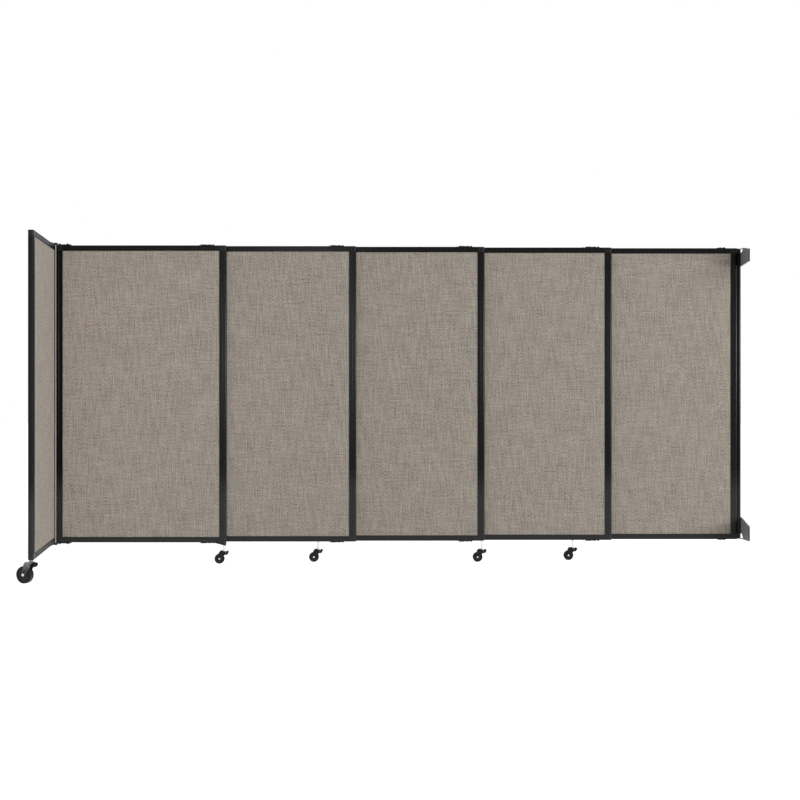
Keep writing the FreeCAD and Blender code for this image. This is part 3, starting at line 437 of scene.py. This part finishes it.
def treadBlack():
    made = newFinish("tread_black")
    place = made.here()
    dustAndReflection = made.noise(place, tread["dustAndReflection"], 4.0)
    pores = made.noise(place, tread["pores"], 1.0)
    tone = made.clip(tread["middle"] + dustAndReflection * tread["dustTone"])
    tyre = made.blend(tone, tread["tyreDark"], tread["tyreLight"])
    hub = made.blend(tone, tread["hubDark"], tread["hubLight"])
    onHub = made.node("ShaderNodeAttribute", {"attribute_name": "onHub"}, out="Fac")
    return made.principled({"Specular IOR Level": tread["specular"]}, **{
        "Base Color": made.blend(onHub, tyre, hub),
        "Roughness": made.clip(tread["roughness"] + dustAndReflection * tread["dustRough"], *tread["roughRange"]),
        "Normal": made.bump(pores, tread["relief"]),
    })


slotFinish = {
    "taupe_fabric": wovenCloth(),
    "black_aluminium": anodisedBlack("anodised_black", bars),
    "black_plastic": mouldedBlack("moulded_black", moulded),
    "black_steel": powderBlack("powder_black", coated),
    "bright_steel": platedSteel("plated_steel", plated),
    "black_tread": treadBlack(),
    "grey_steel": dulledSteel(),
}
slotFinish["bush_plastic"] = slotFinish["black_plastic"]
pedalFinish = mouldedBlack("pedal_black", pedals)
plateFinish = powderBlack("plate_black", plates)
ownFinish = {  # nodes that differ from the rest of their slot
    "wall_bracket_top": plateFinish,
    "wall_bracket_bottom": plateFinish,
    "end_panel_caster_stems": platedSteel("greased_steel", greased),
    "end_panel_stiles_and_rails": anodisedBlack("hazy_black", hazyBars),
    **{caster + "_brake_pedal": pedalFinish for caster in casters},
}
for part in frame["record"]["subparts"]:
    holder = nodes[part["node"]].data
    holder.materials.clear()
    holder.materials.append(ownFinish.get(part["node"], slotFinish[part["material_slot"]]))
print("finishes:", len(slotFinish), "slots")


# meshes

weld = {"distance": 1e-6, "sharpAngle": 32.0}


def surfaceMesh(name, points, rows, columns, closed, uv=None):
    # a grid of points, row by row, as quads; closed joins the last column to the first
    across = np.arange(columns if closed else columns - 1)
    upward = np.arange(rows - 1)
    low = (upward[:, None] * columns + across[None, :]).ravel()
    right = (upward[:, None] * columns + (across[None, :] + 1) % columns).ravel()
    quads = np.stack([low, right, right + columns, low + columns], axis=1)
    mesh = bpy.data.meshes.new(name)
    mesh.from_pydata(points.tolist(), [], quads.tolist())
    if uv is not None:
        layer = mesh.uv_layers.new(name="weave")
        layer.data.foreach_set("uv", uv(quads).astype(np.float32).ravel())
    mesh.polygons.foreach_set("use_smooth", np.ones(len(quads), bool))
    mesh.update()
    return placed(name, mesh)


def tidySurface(piece):
    # seam closed and faces turned outwards
    shape = bmesh.new()
    shape.from_mesh(piece.data)
    bmesh.ops.remove_doubles(shape, verts=shape.verts, dist=weld["distance"])
    bmesh.ops.recalc_face_normals(shape, faces=shape.faces)
    shape.to_mesh(piece.data)
    shape.free()
    piece.data.set_sharp_from_angle(angle=math.radians(weld["sharpAngle"]))


# cloth round each board

wrap = {
    "acrossStep": 0.022,
    "upStep": 0.024,
    "edgeRadius": 0.002,
    "bendPoints": 5,
    "sidePoints": 4,
    "swell": 0.0006,  # how far the cloth stands off the board inside the frame
    "swellReach": 0.05,  # from the frame's lip to the full swell
    "lip": 0.014,  # what the frame covers at each edge
    "ripple": 0.00025,
    "waves": [(7.1, 3.0, 1), (11.3, -5.2, 2), (0.0, 9.7, 3)],  # radians per metre across and up, phases
    "panelPhase": 1.7,
    "backPhase": 2.3,
    "weaveShift": (2.13, 0.71),  # of the pattern, from panel to panel
}


def boardAxes(node):
    # the board's middle, its direction along the panel and its half sizes, from its corners
    points = meshPoints(node)
    middle = (points.min(0) + points.max(0)) / 2
    flat = points[:, :2] - middle[:2]
    along = np.linalg.svd(flat, full_matrices=False)[2][0]
    if abs(along[0]) > abs(along[1]):
        along = along * np.sign(along[0])  # to the right on a facing panel
    else:
        along = along * np.sign(along[1])  # to the back on the end panel
    depth = np.array([-along[1], along[0]])  # away from the side that shows in front
    half = np.array([abs(flat @ along).max(), abs(flat @ depth).max(), np.ptp(points[:, 2]) / 2])
    return middle, along, depth, half


def sleeveSection(wide, thick):
    # an oblong with rounded edges, along and through the board
    turn = wrap["edgeRadius"]
    flatHalf = wide - turn
    sweep = np.linspace(-flatHalf, flatHalf, int(2 * flatHalf / wrap["acrossStep"]) + 1)
    bend = np.linspace(0, math.pi / 2, wrap["bendPoints"])[1:-1]
    side = np.linspace(-(thick - turn), thick - turn, wrap["sidePoints"])
    edge = np.full(len(side), wide)
    face = np.full(len(sweep), thick)
    u = np.concatenate([
        sweep, flatHalf + turn * np.sin(bend), edge, flatHalf + turn * np.cos(bend),
        -sweep, -flatHalf - turn * np.sin(bend), -edge, -flatHalf - turn * np.cos(bend),
    ])
    d = np.concatenate([
        -face, -thick + turn * (1 - np.cos(bend)), side, thick - turn * (1 - np.sin(bend)),
        face, thick - turn * (1 - np.cos(bend)), -side, -thick + turn * (1 - np.sin(bend)),
    ])
    return u, d


def clothSleeve(panel, number):
    # the section carried up the board; the cloth stands off it by a slight swell with long ripples
    middle, along, depth, half = boardAxes(panel + "_board")
    wide, thick, tall = half
    sectionU, sectionD = sleeveSection(wide, thick)
    columns = len(sectionU)
    rows = int(2 * tall / wrap["upStep"]) + 1
    height = np.linspace(-tall, tall, rows)
    u, v = np.meshgrid(sectionU, height)
    d = np.broadcast_to(sectionD, u.shape)
    inside = np.minimum(wide - np.abs(u), tall - np.abs(v)) - wrap["lip"]
    free = np.clip(inside / wrap["swellReach"], 0, 1) ** 0.5
    phase = wrap["panelPhase"] * number + np.where(d < 0, 0.0, wrap["backPhase"])
    waves = [np.sin(across * u + up * v + times * phase) for across, up, times in wrap["waves"]]
    ripple = wrap["ripple"] * sum(waves) / len(waves)
    stand = np.where(inside > 0, free * (wrap["swell"] + ripple), 0.0)
    d = d + np.sign(d) * stand
    points = np.empty((rows * columns, 3))
    points[:, :2] = middle[:2] + u.reshape(-1, 1) * along + d.reshape(-1, 1) * depth
    points[:, 2] = middle[2] + v.ravel()
    path = np.concatenate([[0], np.cumsum(np.hypot(np.diff(sectionU), np.diff(sectionD)))])
    around = path[-1] + math.hypot(sectionU[0] - sectionU[-1], sectionD[0] - sectionD[-1])
    acrossShift, upShift = (shift * number for shift in wrap["weaveShift"])

    def weave(quads):
        column, row = quads % columns, quads // columns
        reach = np.where((column == 0) & (column[:, :1] == columns - 1), around, path[column])
        return np.stack([reach + acrossShift, height[row] + upShift], axis=-1)

    piece = surfaceMesh(panel + "_cloth", points, rows, columns, True, weave)
    piece.data.materials.append(slotFinish["taupe_fabric"])
    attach(piece, panel)
    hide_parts(panel + "_board")
    2 * tall


for number, panel in enumerate(panels):
    clothSleeve(panel, number)
print("cloth:", len(panels), "boards covered")


# caster wheels with a ribbed hub

wheelShape = {
    "around": 120,
    "hubEdge": 0.4,  # shares of the radius
    "rimEdge": 0.72,
    "dishDepth": 0.0025,
    "dishPoints": 7,
    "bevel": {"end_caster": 0.0015, "small": 0.001},  # at each side of the tread
    "bevelPoints": 4,
    "edgeBreak": 0.0004,  # small chamfer on the hub's and rim's edges
    "boreInset": 0.001,  # bore inside the axle's head, which covers it
    "ribs": 6,
    "ribWidth": 0.0032,
    "ribDrop": 0.0006,  # rib face below the hub's face
    "ribSlope": 0.0012,
    "grooveDepth": 0.0005,  # line round each side of the tyre
    "grooveWidth": 0.0009,
}


def wheelSection(radius, half, bore, bevel):
    # radius and side offset from the bore out to the tread and back in on the other side
    edge = radius - bevel  # where the tread's bevel meets the side
    hubEdge, rimEdge = radius * wheelShape["hubEdge"], radius * wheelShape["rimEdge"]
    seam = (rimEdge + edge) / 2
    wide, deep = wheelShape["grooveWidth"] / 2, wheelShape["grooveDepth"]
    lip = wheelShape["edgeBreak"]
    slope = np.linspace(0, 1, wheelShape["bevelPoints"])
    dishReach = np.linspace(hubEdge + lip, rimEdge - lip, wheelShape["dishPoints"])
    dish = np.full(len(dishReach), half - wheelShape["dishDepth"])
    sideR = np.concatenate([
        [bore, bore + lip, hubEdge - lip, hubEdge], dishReach, [rimEdge, rimEdge + lip],
        [seam - wide, seam, seam + wide], edge + bevel * slope, [radius],
    ])
    sideA = np.concatenate([
        [half - lip, half, half, half - lip], dish, [half - lip, half],
        [half, half - deep, half], half - bevel * slope, [0.0],
    ])
    sectionR = np.concatenate([sideR, sideR[-2::-1]])
    sectionA = np.concatenate([sideA, -sideA[-2::-1]])
    inDish = np.isin(np.round(sectionR, 7), np.round(dishReach, 7))
    onHub = sectionR < rimEdge + lip / 2
    return sectionR, sectionA, inDish, onHub


def casterWheel(caster):
    # the half section turned about the axle; ribs lift the dish by angle
    node = caster + "_wheel"
    low, high = (np.array(corner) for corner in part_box(node))
    axleLow, axleHigh = (np.array(corner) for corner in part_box(caster + "_axle"))
    centre = (low + high) / 2
    radius = (high[2] - low[2]) / 2
    across = np.array(jointNamed(caster + "_roll")["axis"], float)
    upward = np.array([0.0, 0.0, 1.0])
    lead = np.cross(across, upward)
    half = float(np.ptp(meshPoints(node) @ across)) / 2
    bore = (axleHigh[2] - axleLow[2]) / 2 - wheelShape["boreInset"]
    bevel = wheelShape["bevel"].get(caster, wheelShape["bevel"]["small"])
    sectionR, sectionA, inDish, onHub = wheelSection(radius, half, bore, bevel)
    rows, columns = wheelShape["around"] + 1, len(sectionR)
    turn = np.linspace(0, 2 * math.pi, rows)[:, None]
    pitch = 2 * math.pi / wheelShape["ribs"]
    spoke = np.abs((turn / pitch + 0.5) % 1 - 0.5) * pitch
    offRib = spoke * sectionR - wheelShape["ribWidth"] / 2
    ribHeight = wheelShape["dishDepth"] - wheelShape["ribDrop"]
    lift = np.clip(0.5 - offRib / wheelShape["ribSlope"], 0, 1) * ribHeight
    offset = sectionA + np.sign(sectionA) * np.where(inDish, lift, 0.0)
    ahead, above = sectionR * np.cos(turn), sectionR * np.sin(turn)
    points = centre + offset[..., None] * across + ahead[..., None] * lead + above[..., None] * upward
    piece = surfaceMesh(node + "_ribbed", points.reshape(-1, 3), rows, columns, True)
    mark = piece.data.attributes.new("onHub", "FLOAT", "POINT")
    mark.data.foreach_set("value", np.tile(onHub.astype(np.float32), rows))
    tidySurface(piece)
    piece.data.materials.append(slotFinish["black_tread"])
    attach(piece, node)
    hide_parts(node)


for caster in casters:
    casterWheel(caster)
print("casters:", len(casters), "wheels ribbed")


# seal at the end hinge: a bead on panel 1 round the hinge axis and a lip on the end panel that meets it

seal = {
    "tone": (0.31, 0.28, 0.245),
    "contrast": 0.2,
    "pile": (900.0, 900.0, 90.0),
    "relief": (0.0002, 0.4),
    "roughness": 0.95,
    "specular": 0.1,
    "beadRadius": 0.0013,
    "beadPoints": 14,
    "webHalf": 0.0005,
    "webDepth": 0.0043,  # from the axis back to panel 1's rounded edge
    "lipOff": (0.0016, 0.0024),  # the lip's two faces, beside the axis
    "lipAlong": (-0.0098, -0.0010),
    "endGap": 0.002,
}


def pileGrey():
    made = newFinish("seal_pile")
    pile = made.noise(made.here(), seal["pile"], 2.0)
    dark, light = (shade(seal["tone"], amount) for amount in (-seal["contrast"], seal["contrast"]))
    return made.principled({"Roughness": seal["roughness"], "Specular IOR Level": seal["specular"]}, **{
        "Base Color": made.blend(made.clip(0.5 + pile), dark, light),
        "Normal": made.bump(pile, seal["relief"]),
    })


def strip(name, outline, low, high):
    # a flat outline carried up from low to high, closed at both ends
    count = len(outline)
    points = [(x, y, z) for z in (low, high) for x, y in outline]
    faces = [tuple(range(count))[::-1], tuple(range(count, 2 * count))]
    faces += [(i, (i + 1) % count, count + (i + 1) % count, count + i) for i in range(count)]
    mesh = bpy.data.meshes.new(name)
    mesh.from_pydata(points, [], faces)
    mesh.update()
    piece = placed(name, mesh)
    tidySurface(piece)
    return piece


def beadOutline(axis):
    # a round bead on a web, with the web's root towards the back
    radius, half, back = seal["beadRadius"], seal["webHalf"], seal["webDepth"]
    start = math.acos(half / radius)
    turn = np.linspace(start, -math.pi - start, seal["beadPoints"])
    bead = [(half, back), *zip(radius * np.cos(turn), radius * np.sin(turn)), (-half, back)]
    return [axis + np.array(spot) for spot in bead]


def lipOutline(axis):
    along, depth = boardAxes("end_panel_board")[1:3]
    (near, far), (inner, outer) = seal["lipAlong"], seal["lipOff"]
    corners = [(near, inner), (far, inner), (far, outer), (near, outer)]
    return [axis + reach * along + off * depth for reach, off in corners]


def hingeSeal():
    axis = np.array(jointNamed("end_panel_hinge")["pos_m"][:2])
    leaves = ("end_hinge_fixed_leaves", "end_hinge_moving_leaves")
    heights = np.concatenate([meshPoints(name)[:, 2] for name in leaves])
    middle = (heights.min() + heights.max()) / 2
    low = heights[heights < middle].max() + seal["endGap"]
    high = heights[heights > middle].min() - seal["endGap"]
    finish = pileGrey()
    for panel, outline in (("panel_1", beadOutline(axis)), ("end_panel", lipOutline(axis))):
        piece = strip(panel + "_hinge_seal", outline, low, high)
        piece.data.materials.append(finish)
        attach(piece, panel)
    print("seal from", round(low, 3), "to", round(high, 3))


hingeSeal()


# floor, light and camera

studio = {
    "floorSize": 60.0,
    "floorGlow": 0.72,
    "floorTone": 0.84,
    "ambient": 0.45,
    "sunFrom": (0.74, -0.60, 0.46),
    "sunSpread": 36.0,  # degrees, so that its shadows are soft
    "sunStrength": 1.58,
    "lamps": {
        # place, target, width and height, power, spread in degrees
        "bank": ((0.1, -8.0, 1.25), (0.1, 0.0, 1.2), (7.5, 0.9), 18.0, 180.0),
        "strip": ((8.5, -5.5, 1.22), (-0.4, 0.2, 1.05), (8.0, 0.8), 420.0, 180.0),
        "fill": ((-0.8, -6.0, 1.3), (-1.6, 0.2, 0.85), (0.8, 1.6), 1.6, 26.0),
    },
}
white = (1, 1, 1, 1)


def paleFloor():
    made = newFinish("pale_floor")
    level = studio["floorTone"]
    plain = made.node("ShaderNodeBsdfDiffuse", None, {"Color": (level, level, level, 1)})
    strength = made.seen() * studio["floorGlow"]
    glow = made.node("ShaderNodeEmission", None, {"Color": white, "Strength": strength})
    made.surface(made.node("ShaderNodeAddShader", None, {0: plain, 1: glow}))
    reach = studio["floorSize"] / 2
    corners = np.array([(x, y, 0.0) for y in (-reach, reach) for x in (-reach, reach)])
    floor = surfaceMesh("floor", corners, 2, 2, False)
    floor.data.materials.append(made.owner)


def paleWorld():
    made = Shading(bpy.data.worlds.new("pale_room"), "ShaderNodeOutputWorld")
    level = studio["ambient"] + made.seen() * (1 - studio["ambient"])  # white where it is seen
    sky = made.node("ShaderNodeBackground", None, {"Color": white, "Strength": level})
    bpy.context.scene.world = made.surface(sky)


def softSun():
    lamp = bpy.data.lights.new("key", "SUN")
    lamp.angle = math.radians(studio["sunSpread"])
    lamp.energy = studio["sunStrength"]
    holder = placed("key", lamp)
    holder.rotation_euler = Vector(studio["sunFrom"]).to_track_quat("Z", "Y").to_euler()


def softbox(name, place, target, size, power, spread):
    lamp = bpy.data.lights.new(name, "AREA")
    lamp.shape = "RECTANGLE"
    lamp.size, lamp.size_y = size
    lamp.energy = power
    lamp.spread = math.radians(spread)
    holder = placed(name, lamp)
    holder.location = place
    holder.rotation_euler = (Vector(target) - Vector(place)).to_track_quat("-Z", "Y").to_euler()


view = {
    "focalPixels": 1690.0,
    "imagePixels": 800.0,
    "sensorWidth": 36.0,
    "fromWallEnd": 1.6495,  # camera's place along the panels, back from the last panel's edge
    "distance": 8.1,  # to the first panel's plane
    "eyeHeight": 0.854,
    "horizonRise": 14.7,  # pixels above the picture's middle
    "farthest": 200.0,
}


def photoCamera():
    camera = bpy.data.cameras.new("camera")
    camera.sensor_width = view["sensorWidth"]
    camera.lens = view["focalPixels"] / view["imagePixels"] * view["sensorWidth"]
    camera.shift_y = -view["horizonRise"] / view["imagePixels"]
    camera.clip_end = view["farthest"]
    holder = placed("camera", camera)
    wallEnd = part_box("panel_5_corner_blocks")[1].x
    low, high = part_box("panel_1_board")
    firstPlane = (low.y + high.y) / 2
    holder.location = (wallEnd - view["fromWallEnd"], firstPlane - view["distance"], view["eyeHeight"])
    holder.rotation_euler = (math.pi / 2, 0, 0)
    bpy.context.scene.camera = holder


paleFloor()
paleWorld()
softSun()
for name, lamp in studio["lamps"].items():
    softbox(name, *lamp)
photoCamera()
bpy.context.scene.view_settings.view_transform = "Standard"
print("studio ready")
